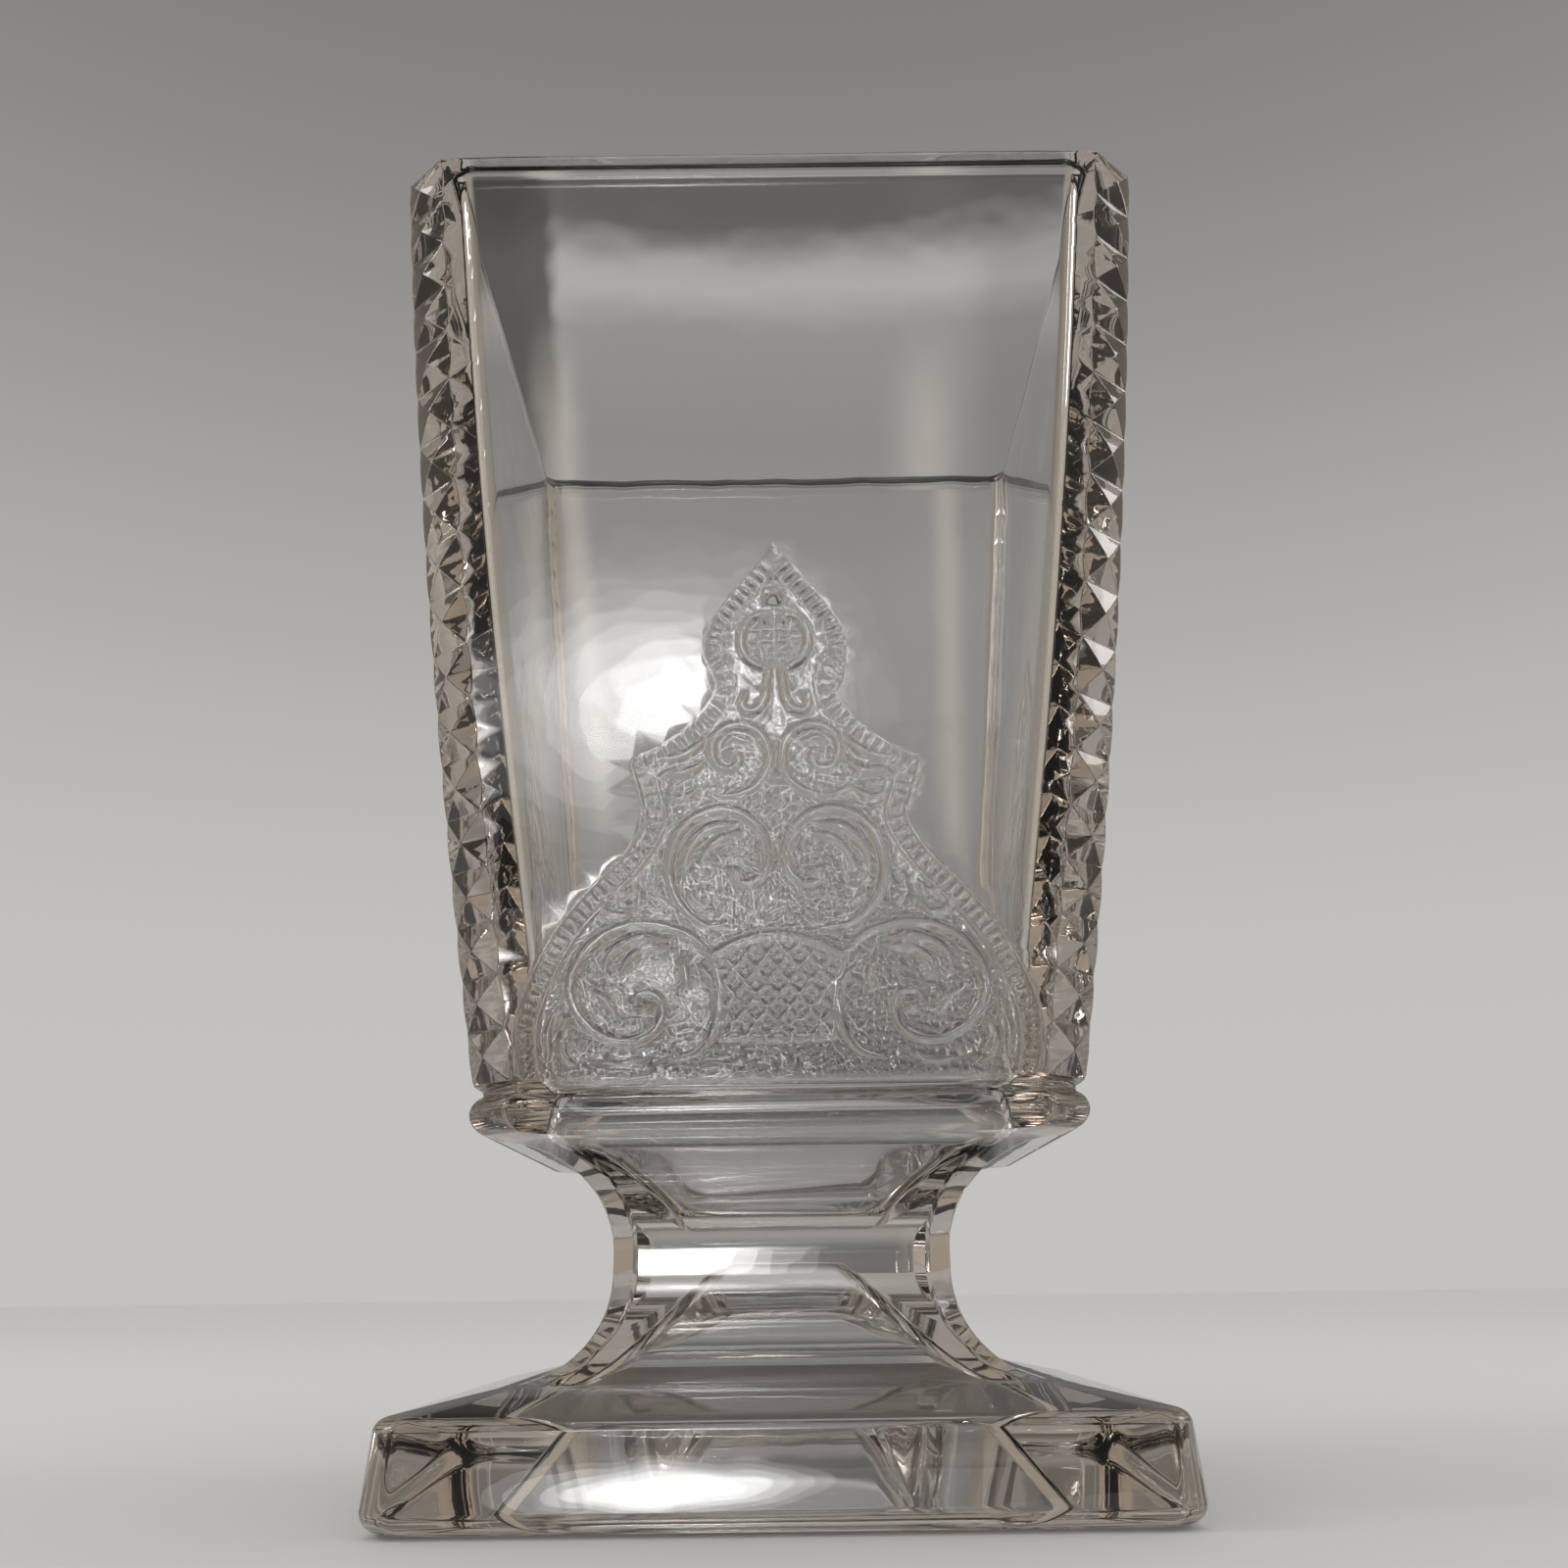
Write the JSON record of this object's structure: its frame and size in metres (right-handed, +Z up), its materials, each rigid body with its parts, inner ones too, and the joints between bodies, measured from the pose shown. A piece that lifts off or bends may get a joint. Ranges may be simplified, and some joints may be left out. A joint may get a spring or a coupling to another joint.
{
  "type": "vase",
  "caption": "Square pedestal vase of clear pressed glass with flared bowed walls, scroll and lattice relief, pyramid-point corners, a spool stem and a hollow square foot",
  "frame": {"origin": "middle of the flat ring under the foot, on the plane the vase stands on", "axes": "+Z up along the vase's middle from foot to rim, -Y towards the viewer through the front panel, +X to the viewer's right"},
  "size_m": [0.0784, 0.0784, 0.135],
  "materials": {
    "glass": "fire-polished clear pressed glass, faintly pink-brown where it is thick, stippled inside the ornament"
  },
  "bodies": {
    "root": {"foot": "glass", "stem": "glass", "collar": "glass", "front_panel": "glass", "right_panel": "glass", "back_panel": "glass", "left_panel": "glass", "front_right_column": "glass", "back_right_column": "glass", "back_left_column": "glass", "front_left_column": "glass"}
  },
  "joints": []
}
